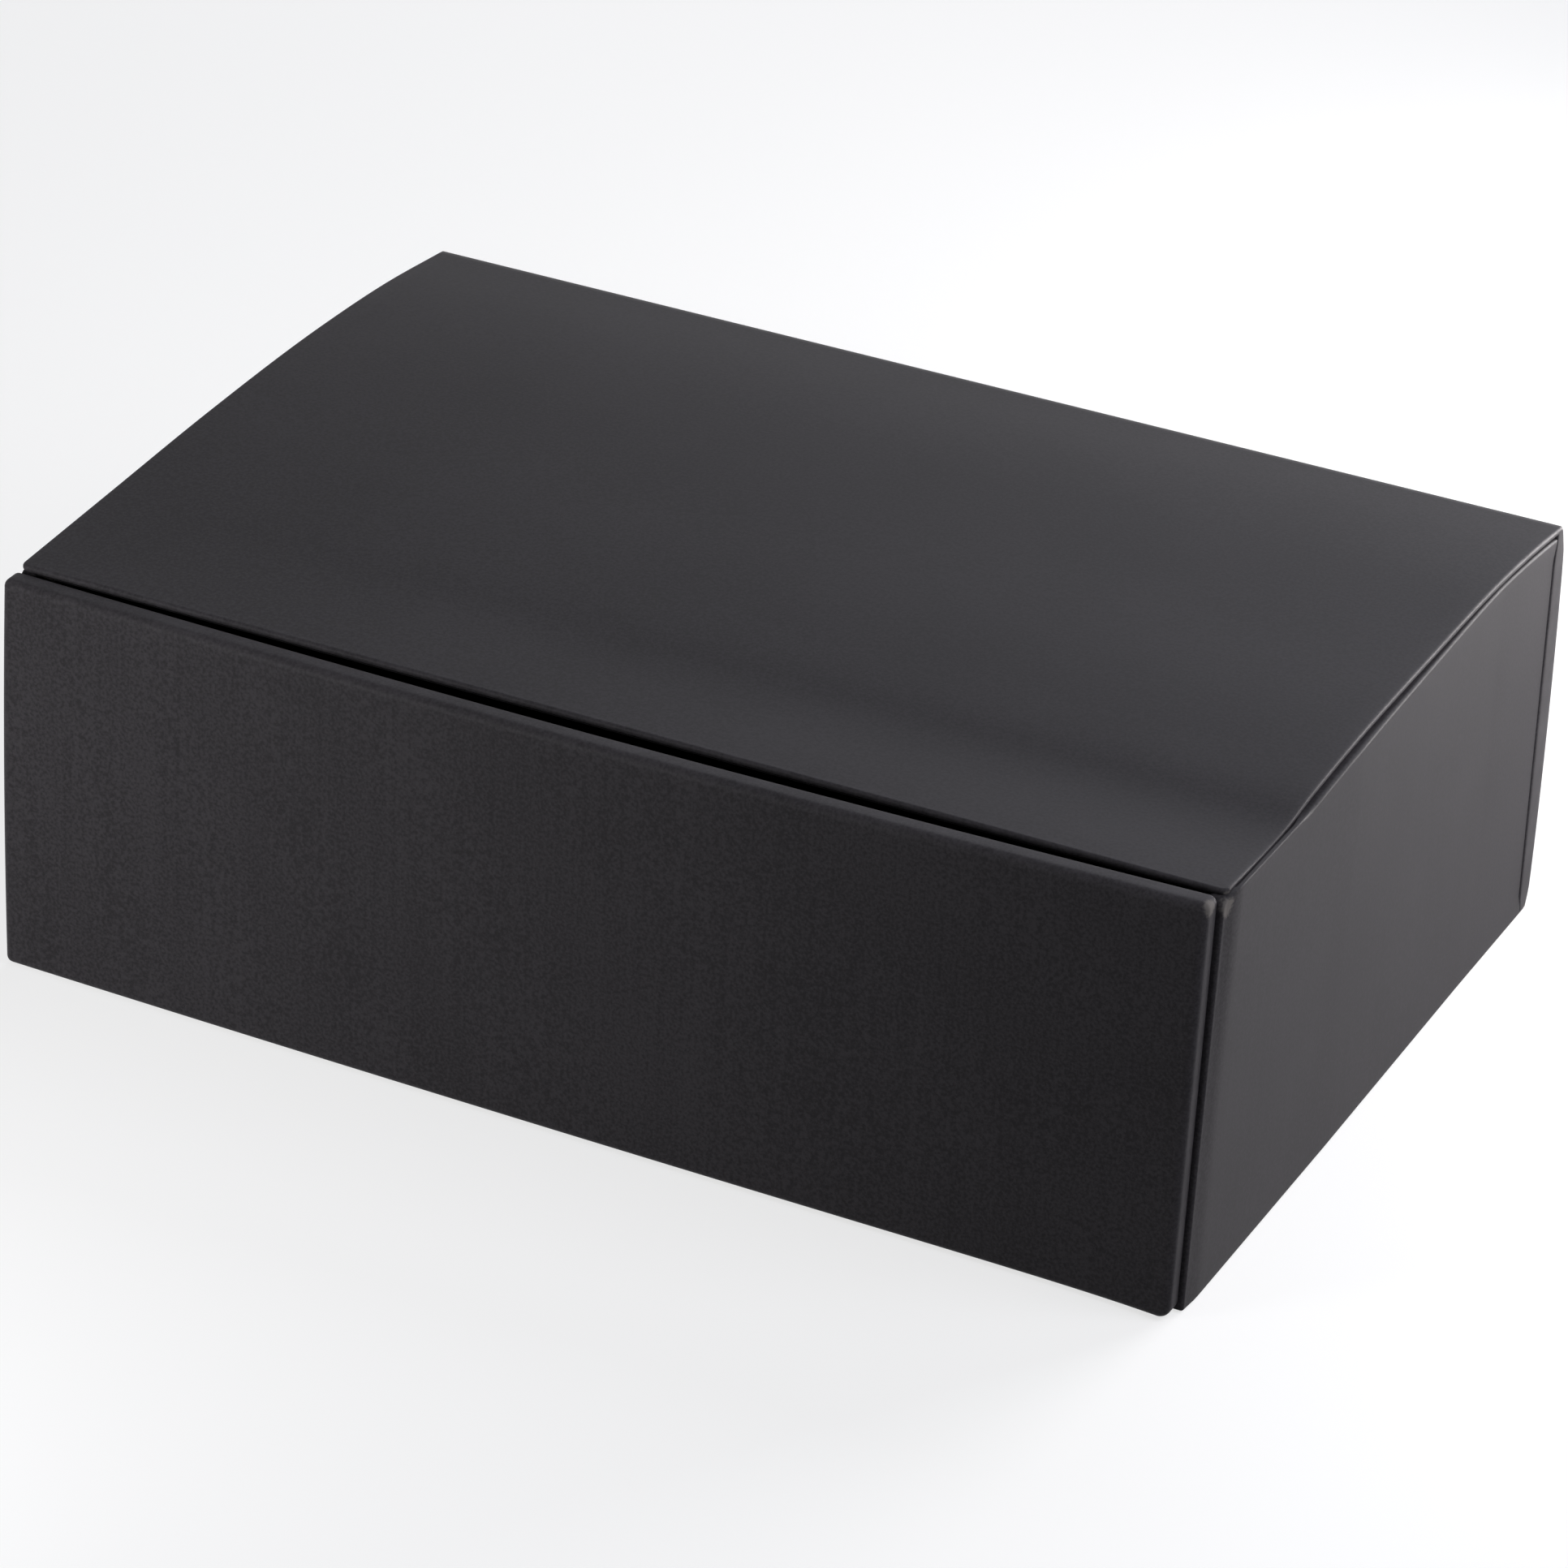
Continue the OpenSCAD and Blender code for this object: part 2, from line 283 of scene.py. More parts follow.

# %% [markdown]
# ## Folds and worn corners
# Where paper is pulled over a board's edge it is stretched and burnished, and its round
# catches the light, so a fold is painted a shade paler than the face: partly burnished paper,
# partly a painted highlight. Where two corners rub on each other the black film wears through
# to the paper's pale fibre. How near a point is to a fold, and to a worn corner, is known when
# its surface is computed. Both are kept on the mesh as attributes, and this group breaks their
# edges up with noise.

# %% Wear group
def make_wear_and_highlight_masks():
    """Turns the attributes fold and worn, from 0 to 1, into masks with ragged edges."""
    group, _, out = new_group(
        "paper_wear_and_highlight", [], [("Fold", "NodeSocketFloat"), ("Worn", "NodeSocketFloat")])
    fold = put(group, "ShaderNodeAttribute", attribute_name="fold").outputs["Fac"]
    worn = put(group, "ShaderNodeAttribute", attribute_name="worn").outputs["Fac"]
    place = put(group, "ShaderNodeTexCoord").outputs["Object"]
    ragged = put(group, "ShaderNodeTexNoise", {"Vector": place, "Scale": 1500.0, "Detail": 4.0})
    rub = put(group, "ShaderNodeTexNoise", {"Vector": place, "Scale": 180.0, "Detail": 3.0})
    # The Fold mask is the paleness on folds, partly burnished paper and partly a painted highlight, broken
    # up by rub noise.
    scuff_and_highlight = maths(group, "MULTIPLY", fold, ramp(group, rub.outputs["Fac"], 0.30, 0.75, 0.35, 1.0))
    shifted = maths(group, "ADD", worn, maths(group, "MULTIPLY_ADD", ragged.outputs["Fac"], 0.5, -0.25))
    group.links.new(scuff_and_highlight, out["Fold"])
    group.links.new(ramp(group, shifted, 0.42, 0.70), out["Worn"])
    return group


wear_and_highlight_group = make_wear_and_highlight_masks()
print("group:", wear_and_highlight_group.name)

# %% [markdown]
# ## Materials
# Four finishes cover the box: the matte, film-laminated black wrapping paper, the plainer black
# lining paper, raw grey board and brown gummed tape. Black needs care. Its colour is so dark
# that it is mostly seen by what it mirrors, so the roughness and the strength of the reflection
# decide how it looks.

# %% Material of the wrapping paper
def paper_material(name, dark, pale, fibre, rough, gloss, tooth_height):
    """Black paper: dark to pale by its grain, paler on folds, where burnish and a painted highlight lighten
    it, and fibre where it is worn.
    """
    material = bpy.data.materials.new(name)
    material.use_nodes = True
    tree = material.node_tree
    shader = tree.nodes["Principled BSDF"]
    grain = use_group(tree, grain_group, {})
    wear_and_fold_highlight = use_group(tree, wear_and_highlight_group, {})
    fine = maths(tree, "MULTIPLY_ADD", grain["Tooth"], 0.84, maths(tree, "MULTIPLY", grain["Streaks"], 0.16))
    tone = maths(tree, "MULTIPLY_ADD", grain["Clouds"], 0.12, maths(tree, "MULTIPLY", fine, 0.88))
    face = mix_colour(tree, ramp(tree, tone, 0.36, 0.64), dark, pale)
    # Folds are mixed towards a paler tone: burnished paper and a painted highlight in one.
    burnish_and_highlight_colour = mix_colour(tree, maths(tree, "MULTIPLY", wear_and_fold_highlight["Fold"], 0.20), face,
                        (pale[0] * 2.2, pale[1] * 2.2, pale[2] * 2.2, 1))
    colour = mix_colour(tree, wear_and_fold_highlight["Worn"], burnish_and_highlight_colour, fibre)
    matte = ramp(tree, fine, 0.3, 0.7, rough - 0.05, rough + 0.05)
    burnished = maths(tree, "MULTIPLY_ADD", wear_and_fold_highlight["Fold"], -0.06, matte)
    roughness = maths(tree, "MULTIPLY_ADD", wear_and_fold_highlight["Worn"], 0.3, burnished)
    bump = put(tree, "ShaderNodeBump",
               {"Strength": 1.0, "Distance": tooth_height, "Height": fine})
    tree.links.new(colour, shader.inputs["Base Color"])
    tree.links.new(roughness, shader.inputs["Roughness"])
    tree.links.new(bump.outputs[0], shader.inputs["Normal"])
    shader.inputs["Specular IOR Level"].default_value = gloss
    return material


paper_fibre = (0.135, 0.125, 0.118, 1)
wrap_paper = paper_material("black_wrap_paper", (0.0215, 0.0200, 0.0219, 1),
                            (0.0400, 0.0372, 0.0408, 1), paper_fibre, 0.50, 0.05, 0.000007)
lining_paper = paper_material("black_lining_paper", (0.0190, 0.0178, 0.0194, 1),
                              (0.0290, 0.0272, 0.0296, 1), paper_fibre, 0.72, 0.05, 0.000012)
print("papers:", wrap_paper.name, lining_paper.name)


# %% Material of the boards and of the tape
def greyboard_material():
    """Recycled board: grey pulp with pale and dark flecks and a felted surface."""
    material = bpy.data.materials.new("raw_greyboard")
    material.use_nodes = True
    tree = material.node_tree
    shader = tree.nodes["Principled BSDF"]
    place = put(tree, "ShaderNodeTexCoord").outputs["Object"]
    pulp = put(tree, "ShaderNodeTexNoise", {"Vector": place, "Scale": 700.0, "Detail": 5.0})
    flecks = put(tree, "ShaderNodeTexVoronoi", {"Vector": place, "Scale": 420.0})
    layers = put(tree, "ShaderNodeTexNoise",
                 {"Vector": put(tree, "ShaderNodeMapping",
                                {"Vector": place, "Scale": (0.05, 0.05, 1.0)}).outputs[0],
                  "Scale": 2500.0, "Detail": 2.0})
    body = mix_colour(tree, ramp(tree, pulp.outputs["Fac"], 0.3, 0.7),
                      (0.225, 0.214, 0.196, 1), (0.300, 0.288, 0.266, 1))
    dark = ramp(tree, flecks.outputs["Distance"], 0.06, 0.16, 0.55, 0.0)
    speckled = mix_colour(tree, dark, body, (0.105, 0.100, 0.094, 1))
    height = maths(tree, "MULTIPLY_ADD", pulp.outputs["Fac"], 0.7,
                   maths(tree, "MULTIPLY", layers.outputs["Fac"], 0.3))
    bump = put(tree, "ShaderNodeBump", {"Distance": 0.00003, "Height": height})
    tree.links.new(speckled, shader.inputs["Base Color"])
    tree.links.new(bump.outputs[0], shader.inputs["Normal"])
    shader.inputs["Roughness"].default_value = 0.9
    shader.inputs["Specular IOR Level"].default_value = 0.2
    return material


def kraft_material():
    """Brown gummed tape: long fibres in two browns, slightly glossy from the glue."""
    material = bpy.data.materials.new("brown_kraft_tape")
    material.use_nodes = True
    tree = material.node_tree
    shader = tree.nodes["Principled BSDF"]
    place = put(tree, "ShaderNodeTexCoord").outputs["Object"]
    along = put(tree, "ShaderNodeMapping", {"Vector": place, "Scale": (1.0, 1.0, 0.12)})
    fibres = put(tree, "ShaderNodeTexNoise",
                 {"Vector": along.outputs[0], "Scale": 1600.0, "Detail": 4.0})
    colour = mix_colour(tree, ramp(tree, fibres.outputs["Fac"], 0.3, 0.7),
                        (0.33, 0.205, 0.090, 1), (0.46, 0.300, 0.145, 1))
    bump = put(tree, "ShaderNodeBump", {"Distance": 0.00001, "Height": fibres.outputs["Fac"]})
    tree.links.new(colour, shader.inputs["Base Color"])
    tree.links.new(bump.outputs[0], shader.inputs["Normal"])
    shader.inputs["Roughness"].default_value = 0.55
    return material


greyboard = greyboard_material()
kraft_tape = kraft_material()
print("boards and tape:", greyboard.name, kraft_tape.name)

# %% [markdown]
# ## Sizes from the frame
# Nothing is measured twice. The case's plate thickness, its outline and its rim come from the
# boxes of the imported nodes. The drawer sits slightly askew in its play, so its boxes are read
# after turning its nodes straight, and every drawer surface is computed straight and turned
# back at the end.

# %% Sizes
def node_points(node):
    """The corner points of a CAD node, in millimetres, one row each."""
    mesh = frame["nodes"][node].data
    flat = np.empty(len(mesh.vertices) * 3)
    mesh.vertices.foreach_get("co", flat)
    return flat.reshape(-1, 3) / mm


def turned(points, angle):
    """Turns points about the upright through the origin: x cos - y sin and x sin + y cos."""
    x, y, z = np.moveaxis(points, -1, 0)
    return np.stack([x * math.cos(angle) - y * math.sin(angle),
                     x * math.sin(angle) + y * math.cos(angle), z], axis=-1)


def node_box(node, angle=0.0):
    """Lowest and highest corner of a node in millimetres, after turning it back by angle."""
    points = turned(node_points(node), -angle)
    return points.min(axis=0), points.max(axis=0)


base_points = node_points("tray_base_board")
front_left = base_points[base_points[:, 0].argmin()]
front_right = base_points[base_points[:, 1].argmin()]
drawer_turn = math.atan2(front_right[1] - front_left[1], front_right[0] - front_left[0])

cover_low, cover_high = node_box("case_wrap")
side_low, side_high = node_box("case_right_wrap")
room_low, room_high = node_box("case_base_liner")
plate = cover_high[0] - side_low[0]
cover_nodes = node_points("case_wrap")
case_top = cover_nodes[cover_nodes[:, 1] < cover_low[1] + 1, 2].max()
top_plate = case_top - side_high[2]
paper = side_low[2]
panel_low, panel_high = node_box("front_panel_wrap", drawer_turn)
backing_low, backing_high = node_box("front_panel_backing", drawer_turn)
tray_low, tray_high = node_box("tray_wrap", drawer_turn)
floor_low, floor_high = node_box("tray_floor_liner", drawer_turn)
wall_low, wall_high = node_box("tray_wall_liner", drawer_turn)
print("side plate", round(plate, 2), "mm, top plate", round(top_plate, 2), "mm, case top",
      round(case_top, 2), "mm, drawer turned",
      round(math.degrees(drawer_turn), 3), "degrees")

# %% [markdown]
# ## One surface for every wrapped plate
# A wrapped board is a rectangle with slightly round corners. Its paper is flat on the face,
# rolls over the edge, runs down the edge and rolls over again to the back. It could be a cube
# with a bevel, but then neither the corner's shape nor the roll could be set by itself. Here
# the face is a grid on the rounded rectangle, and the roll is a profile of insets and depths
# carried once round the grid's rim.

# %% Rounded rectangle
def lines(cells, corner_cells):
    """Grid lines from 0 to 3: 0 to 1 and 2 to 3 cross the corners, 1 to 2 lies between them."""
    corner = np.linspace(0, 1, corner_cells + 1)
    return np.concatenate([corner, np.linspace(1, 2, cells + 1)[1:-1], corner + 2])


def rounded(a, b, low, high, radii, inset=0.0):
    """Carries the square of a and b from 0 to 3 onto a rectangle with four round corners.
    In a corner, u and v from 0 to 1 become u * sqrt(1 - v*v/2) and v * sqrt(1 - u*u/2), which
    turns the corner's square into a quarter disc. Inset moves the whole rim inwards."""
    low = np.asarray(low, float) + inset
    high = np.asarray(high, float) - inset
    left_low, right_low, left_high, right_high = np.maximum(np.asarray(radii) - inset, 0.02)
    u = np.clip(1 - a, 0, 1) + np.clip(a - 2, 0, 1)
    v = np.clip(1 - b, 0, 1) + np.clip(b - 2, 0, 1)
    m = np.clip(a - 1, 0, 1)
    n = np.clip(b - 1, 0, 1)
    weights = ((1 - m) * (1 - n), m * (1 - n), (1 - m) * n, m * n)
    reach = sum(w * r for w, r in zip(weights, (left_low, right_low, left_high, right_high)))
    core_x = (weights[0] * (low[0] + left_low) + weights[1] * (high[0] - right_low)
              + weights[2] * (low[0] + left_high) + weights[3] * (high[0] - right_high))
    core_y = (weights[0] * (low[1] + left_low) + weights[1] * (low[1] + right_low)
              + weights[2] * (high[1] - left_high) + weights[3] * (high[1] - right_high))
    x = core_x + np.sign(a - 1.5) * reach * u * np.sqrt(1 - v * v / 2)
    y = core_y + np.sign(b - 1.5) * reach * v * np.sqrt(1 - u * u / 2)
    return x, y


def roll_over(radius, depth, back_reach, steps=6):
    """Rows of inset and depth over an edge: a quarter circle out, the edge, a quarter circle
    in, and the paper turned in on the back as far as back_reach."""
    angle = np.linspace(0, math.pi / 2, steps + 1)
    over = np.stack([radius * (1 - np.sin(angle)), radius * (1 - np.cos(angle))], axis=1)
    under = np.stack([radius * (1 - np.cos(angle)), depth - radius * (1 - np.sin(angle))], axis=1)
    middle = np.array([[0, depth * 0.35], [0, depth * 0.65]])
    back = np.array([[radius + 0.15, depth], [back_reach, depth]])
    return np.concatenate([over, middle, under, back])


def board_rows(radius, thickness, start=0.0):
    """A bare board's edge: the same quarter circles and edge, with nothing turned in."""
    return roll_over(radius, thickness, radius)[:-2] + [0, start]


def smooth(t):
    """Eases t from 0 to 1 as t * t * (3 - 2 t), which is flat at both ends."""
    t = np.clip(t, 0, 1)
    return t * t * (3 - 2 * t)


print("quarter disc corner:", np.round(rounded(np.array(0.), np.array(0.), (0, 0), (9, 9), [1] * 4), 3))


# %% Mesh of a sheet
def grid_faces(index):
    """The four corners of each cell of a grid of point numbers."""
    cells = np.stack([index[:-1, :-1], index[1:, :-1], index[1:, 1:], index[:-1, 1:]], axis=-1)
    return cells.reshape(-1, 4)


def rim_walk(rows, columns):
    """Row and column numbers once round a grid's rim, anticlockwise, each point once."""
    i = np.concatenate([np.arange(rows), np.full(columns - 2, rows - 1),
                        np.arange(rows)[::-1], np.zeros(columns - 2, int)])
    j = np.concatenate([np.zeros(rows, int), np.arange(1, columns - 1),
                        np.full(rows, columns - 1), np.arange(1, columns - 1)[::-1]])
    return i, j


def sheet(low, high, radii, rows, place, cells, corner_cells=5, face=True, closed=False):
    """Points, faces and insets of a sheet. The face is a grid at the first row's inset and
    depth. Each further row is a loop round it. place(x, y, depth) puts them in space. A closed
    sheet is a board: a second grid shuts it at the last row."""
    a, b = np.meshgrid(lines(cells[0], corner_cells), lines(cells[1], corner_cells), indexing="ij")
    i, j = rim_walk(*a.shape)
    points, faces, edges = [], [], []
    index = np.arange(a.size).reshape(a.shape)
    if face:
        x, y = rounded(a, b, low, high, radii, rows[0][0])
        points.append(place(x, y, rows[0][1] + 0 * x).reshape(-1, 3))
        to_rim = np.minimum(np.minimum(x - low[0], high[0] - x), np.minimum(y - low[1], high[1] - y))
        edges.append(to_rim.ravel())
        faces.append(grid_faces(index))
        loop = index[i, j]
        start = a.size
    else:
        loop = None
        start = 0
    for inset, depth in rows[1 if face else 0:]:
        x, y = rounded(a[i, j], b[i, j], low, high, radii, inset)
        points.append(place(x, y, depth + 0 * x))
        edges.append(np.full(x.size, inset))
        ring = start + np.arange(x.size)
        if loop is not None:
            faces.append(np.stack([loop, ring, np.roll(ring, -1), np.roll(loop, -1)], axis=-1))
        loop = ring
        start += x.size
    if closed:
        inner = np.zeros(a.shape, bool)
        inner[1:-1, 1:-1] = True
        x, y = rounded(a, b, low, high, radii, rows[-1][0])
        points.append(place(x, y, rows[-1][1] + 0 * x)[inner])
        edges.append(np.full(inner.sum(), 9.0))
        back = np.zeros(a.shape, int)
        back[inner] = start + np.arange(inner.sum())
        back[i, j] = loop
        faces.append(grid_faces(back)[:, ::-1])
    return np.concatenate(points), np.concatenate(faces), np.concatenate(edges)


def outward(points, faces, away):
    """Turns all faces over if the first one doesn't look along the direction away."""
    first = points[faces[0]]
    normal = np.cross(first[1] - first[0], first[2] - first[0])
    return faces if normal @ np.asarray(away) > 0 else faces[:, ::-1]


def new_piece(name, body, material, points, faces, away, thickness=0.0, fold=None,
              worn=None, replaces=()):
    """Makes an object from points in millimetres, with its attributes, thickness and place in
    the frame. Thickness grows inwards from the surface, as a paper's does."""
    faces = outward(points, faces, away)
    mesh = bpy.data.meshes.new(name)
    mesh.from_pydata((points * mm).tolist(), [], faces.tolist())
    mesh.polygons.foreach_set("use_smooth", np.ones(len(faces), bool))
    for label, values in (("fold", fold), ("worn", worn)):
        if values is not None:
            mesh.attributes.new(label, "FLOAT", "POINT").data.foreach_set("value", values.astype(np.float32))
    mesh.materials.append(material)
    mesh.validate()
    piece = bpy.data.objects.new(name, mesh)
    scene.collection.objects.link(piece)
    if thickness:
        wall = piece.modifiers.new("thickness", "SOLIDIFY")
        wall.thickness = thickness * mm
        wall.offset = -1
    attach(piece, body)
    if replaces:
        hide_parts(*replaces)
    print(name, "points", len(points), "low", np.round(points.min(axis=0), 2), "high",
          np.round(points.max(axis=0), 2))
    return piece


print("surface helpers are ready")

# %% [markdown]
# ## Where the paper is folded and worn
# A point's inset from the rim says how near it is to a fold. The worn spots are given as points
# on the box where the photograph shows pale fibre, each with its size: the two corners that
# meet at the front right, and lighter rubs on the others.

# %% Fold and wear values
# The fold mask pales the paper near its folds: partly burnish, partly a painted highlight.
fold_width = 0.9


def fold_value(edges):
    """1 on the rim, falling off with the square of the distance over the fold's width."""
    return np.exp(-np.square(np.maximum(edges, 0) / fold_width))


def worn_value(points, spots):
    """The strongest of the spots: strength * exp(-(distance / size) squared)."""
    value = np.zeros(len(points))
    for place, size, strength in spots:
        distance = np.linalg.norm(points - np.asarray(place), axis=1)
        value = np.maximum(value, strength * np.exp(-np.square(distance / size)))
    return value


print("fold width", fold_width, "mm")

# %% [markdown]
# ## The bowed top
# The top board has warped: its right edge lifts off the side wall in the middle of the depth,
# and its left edge lifts further and nearer to the back. Each edge's rise is a smooth curve
# through a few measured points, and the board's rise between the edges is a straight blend of
# the two. The same rise bends the paper and the board under it, so neither pokes through.

# %% Rise of the top
def curve_through(at, value, x):
    """A smooth curve through points: between two of them a cubic whose slopes at its ends
    are the mean of the slopes to both neighbours."""
    at, value = np.asarray(at, float), np.asarray(value, float)
    slope = np.gradient(value, at)
    k = np.clip(np.searchsorted(at, x) - 1, 0, len(at) - 2)
    span = at[k + 1] - at[k]
    t = np.clip((x - at[k]) / span, 0, 1)
    return (value[k] * (1 + 2 * t) * (1 - t) ** 2 + slope[k] * span * t * (1 - t) ** 2
            + value[k + 1] * t * t * (3 - 2 * t) - slope[k + 1] * span * t * t * (1 - t))


left_edge_y = [-74, -45, -12, 28, 52, 74]
left_edge_rise = [0.0, 1.35, 2.85, 3.40, 2.50, 0.45]
right_edge_y = [-74, -49, -43, -30, 12, 45, 59, 74]
right_edge_rise = [0.0, 0.05, 0.90, 1.95, 3.10, 3.00, 2.10, 0.50]


def top_rise(x, y):
    """The left edge's rise and the right edge's, blended straight across the width."""
    share = np.clip((x / cover_high[0] + 1) / 2, 0, 1)
    left = curve_through(left_edge_y, left_edge_rise, y)
    right = curve_through(right_edge_y, right_edge_rise, y)
    return left * (1 - share) + right * share


print("rise at the middle of the top:", np.round(top_rise(np.array(0.0), np.array(12.0)), 2), "mm")

# %% [markdown]
# ## The cover: top and back in one sheet
# One sheet of paper runs over the top and down the back, round a soft fold, and is turned over
# the edges of both boards. The top is a thin board, so its edge is a narrow round lip, and the
# back is a thick one. The surface is computed as if it were unrolled: x across the box and s
# along the sheet, with the depth counted into the board. Rolling it up sends s to the top,
# round the fold and down the back. Inside the fold the two boards meet in a mitre. The back
# bulges a little, and its turned edge laps on to the side walls.

# %% Cover paper and top board
roll_radius = 0.55
fold_radius = 0.8
turned_under = 0.05
back_bulge = 2.1
back_lap = 1.3
lap_stands = 0.25
lap_runs_in = 5.0
fold_length = fold_radius * math.pi / 2
top_run = cover_high[1] - cover_low[1] - fold_radius
back_run = case_top - fold_radius - paper


def rolled_up(x, s, depth):
    """Unrolled sheet to box. Top: y grows with s, and the depth past the roll is squeezed into
    the thin board. Fold: a quarter circle whose radius shrinks with the depth. Back: z falls
    with s. The outer face of the back bulges by the root of a sine of the height. At the sides
    its turned edge stands out and laps forward. Last, z is stretched by the top's rise at that place."""
    inward = np.clip((depth - roll_radius) / (plate - 2 * roll_radius), 0, 1)
    depth_top = depth - (plate - top_plate) * inward
    corner_y = np.maximum(fold_radius, depth)
    corner_z = np.maximum(fold_radius, depth_top)
    on_top = np.clip(s / top_run, 0, 1)
    in_fold = np.clip((s - top_run) / fold_length, 0, 1) * math.pi / 2
    down = np.clip((s - top_run - fold_length) / back_run, 0, 1)
    y = (cover_low[1] + on_top * (cover_high[1] - corner_y - cover_low[1])
         + (corner_y - depth) * np.sin(in_fold))
    z = (case_top - corner_z + (corner_z - depth_top) * np.cos(in_fold)
         - down * (case_top - corner_z - paper))
    near_side = np.clip((np.abs(x) - cover_high[0] + 0.8) / 0.5, 0, 1)
    standing = near_side * smooth(down * back_run / lap_runs_in) * smooth(z / lap_runs_in)
    bulge = back_bulge * (1 - np.clip(depth / plate, 0, 1)) * np.sqrt(np.sin(math.pi * down) + 1e-9)
    y = y + bulge - back_lap * standing * inward
    x = x + lap_stands * np.sign(x) * standing
    return np.stack([x, y, z * (1 + top_rise(x, y) / case_top)], axis=-1)


def fold_lines_cells(low, high):
    """The number of grid cells along the sheet, so that one cell is about as long as the fold."""
    return int((high - low) / fold_length)


sheet_length = top_run + fold_length + back_run
cover_cells = (70, fold_lines_cells(0, sheet_length))
corner_r = 1.4
cover_points, cover_faces, cover_edges = sheet(
    (cover_low[0], 0), (cover_high[0], sheet_length), [corner_r, corner_r, 0.6, 0.6],
    roll_over(roll_radius, plate + turned_under, 6.0), rolled_up, cover_cells)
new_piece("cover_paper", "case", wrap_paper, cover_points, cover_faces, (0, 0, 1),
          thickness=0.15, fold=fold_value(cover_edges),
          worn=worn_value(cover_points, [((-109.6, 73.6, 75.4), 0.8, 0.4),
                                         ((109.9, -73.4, 74.6), 1.1, 0.75),
                                         ((109.8, 73.6, 0.6), 1.3, 0.85)]),
          replaces=["case_wrap"])


def top_board_place(x, y, depth):
    """The board lies one paper under the cover's face and follows the same rise."""
    z = case_top - paper - depth
    return np.stack([x, y, z * (1 + top_rise(x, y) / case_top)], axis=-1)


board_points, board_faces, _ = sheet(
    (cover_low[0] + paper, cover_low[1] + paper), (cover_high[0] - paper, cover_high[1] - paper),
    [corner_r - paper, corner_r - paper, 0.3, 0.3], board_rows(roll_radius - paper, top_plate - paper),
    top_board_place, (40, 60), closed=True)
new_piece("top_board", "case", greyboard, board_points, board_faces, (0, 0, 1),
          replaces=["case_top_board"])

# %% [markdown]
# ## The top's lining
# Inside, a sheet of lining paper covers the top board's underside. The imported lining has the
# same place but its own simpler bow, so this one is made again with the measured rise.

# %% Top lining
lining_low, lining_high = node_box("case_top_liner")
lining_thick = paper


def top_lining_place(x, y, depth):
    """Depth counts upwards from the sheet's lower face, which lies one lining under the board."""
    z = case_top - top_plate - lining_thick + depth
    return np.stack([x, y, z * (1 + top_rise(x, y) / case_top)], axis=-1)


top_lining_rows = np.array([[0.1, 0.0], [0.02, 0.03], [0.0, 0.08], [0.0, lining_thick - 0.06]])
points, faces, edges = sheet(lining_low[:2], lining_high[:2], [0.3] * 4, top_lining_rows,
                             top_lining_place, (60, 60))
new_piece("top_lining", "case", lining_paper, points, faces, (0, 0, -1),
          fold=0.3 * fold_value(edges), replaces=["case_top_liner"])

# %% [markdown]
# ## Side papers
# Each side wall has its own paper, turned over its top and front edges. Its top front corner
# is crushed round like the cover's. It reaches a little past the wall's rear end, under the
# cover's lap. The right wall has warped: it stands out at the top, and most in front, where its
# top edge has slipped up beside the cover's edge and leaves a soft groove there. Its front
# edge leans forward. The left wall is straight. Behind the kink both walls' top edges rise
# with the bowed top, so that only a narrow dark line is left under its lip.

# %% Side papers
rear_reach = 0.25
gap_under_top = 0.5
rise_starts = 64.0
flare_high = 1.1
flare_low = 0.45
flare_ends = 45.0
flare_full_by = -20.0
kink_y = -42.0
kink_length = 12.0
wall_lift = 0.65
lift_starts = 66.0
front_crush = 5.0
lean_high = 1.6
lean_low = 5.0
lean_fades_by = 40.0


def reach_up(side, along, up):
    """How far a wall's upper part rises towards the bowed top: the top's rise less a small
    gap, full at the wall's top edge and eased to nothing below it. The part that is turned
    down inside rises with it."""
    rise = np.maximum(top_rise(side * side_high[0] + 0 * along, along) - gap_under_top, 0)
    return rise * smooth((up - rise_starts) / (side_high[2] - rise_starts))


def left_side_place(along, up, depth):
    """The plate's x runs along the box's y and its y runs up. Depth goes into the wall."""
    return np.stack([depth - side_high[0], along, up + reach_up(-1, along, up)], axis=-1)


def right_side_place(along, up, depth):
    """The outer face flares: a little at the foot, more with the square of the height, full in
    front and fading straight to nothing past the middle. The inner face stays on the board.
    In front of the kink the top edge is lifted and squeezed thin. The front edge moves forward."""
    height = up / side_high[2]
    crushed = smooth((along - side_low[1]) / front_crush)
    reach = np.clip((flare_ends - along) / (flare_ends - flare_full_by), 0, 1)
    flare = (flare_low + (flare_high - flare_low) * np.square(height)) * reach * (0.2 + 0.8 * crushed)
    beside = smooth((kink_y - along) / kink_length + 0.5) * crushed
    lifted = up + wall_lift * beside * smooth((up - lift_starts) / (side_high[2] - lift_starts))
    thin = beside * smooth((lifted - side_high[2]) / 0.4)
    x = side_high[0] + flare * (1 - (1 - thin) * depth / plate) - depth * (1 - 0.7 * thin)
    lean = lean_low + (lean_high - lean_low) * height
    y = along - lean * smooth((side_low[1] + lean_fades_by - along) / lean_fades_by)
    return np.stack([x, y, lifted + (1 - beside) * reach_up(1, along, up)], axis=-1)


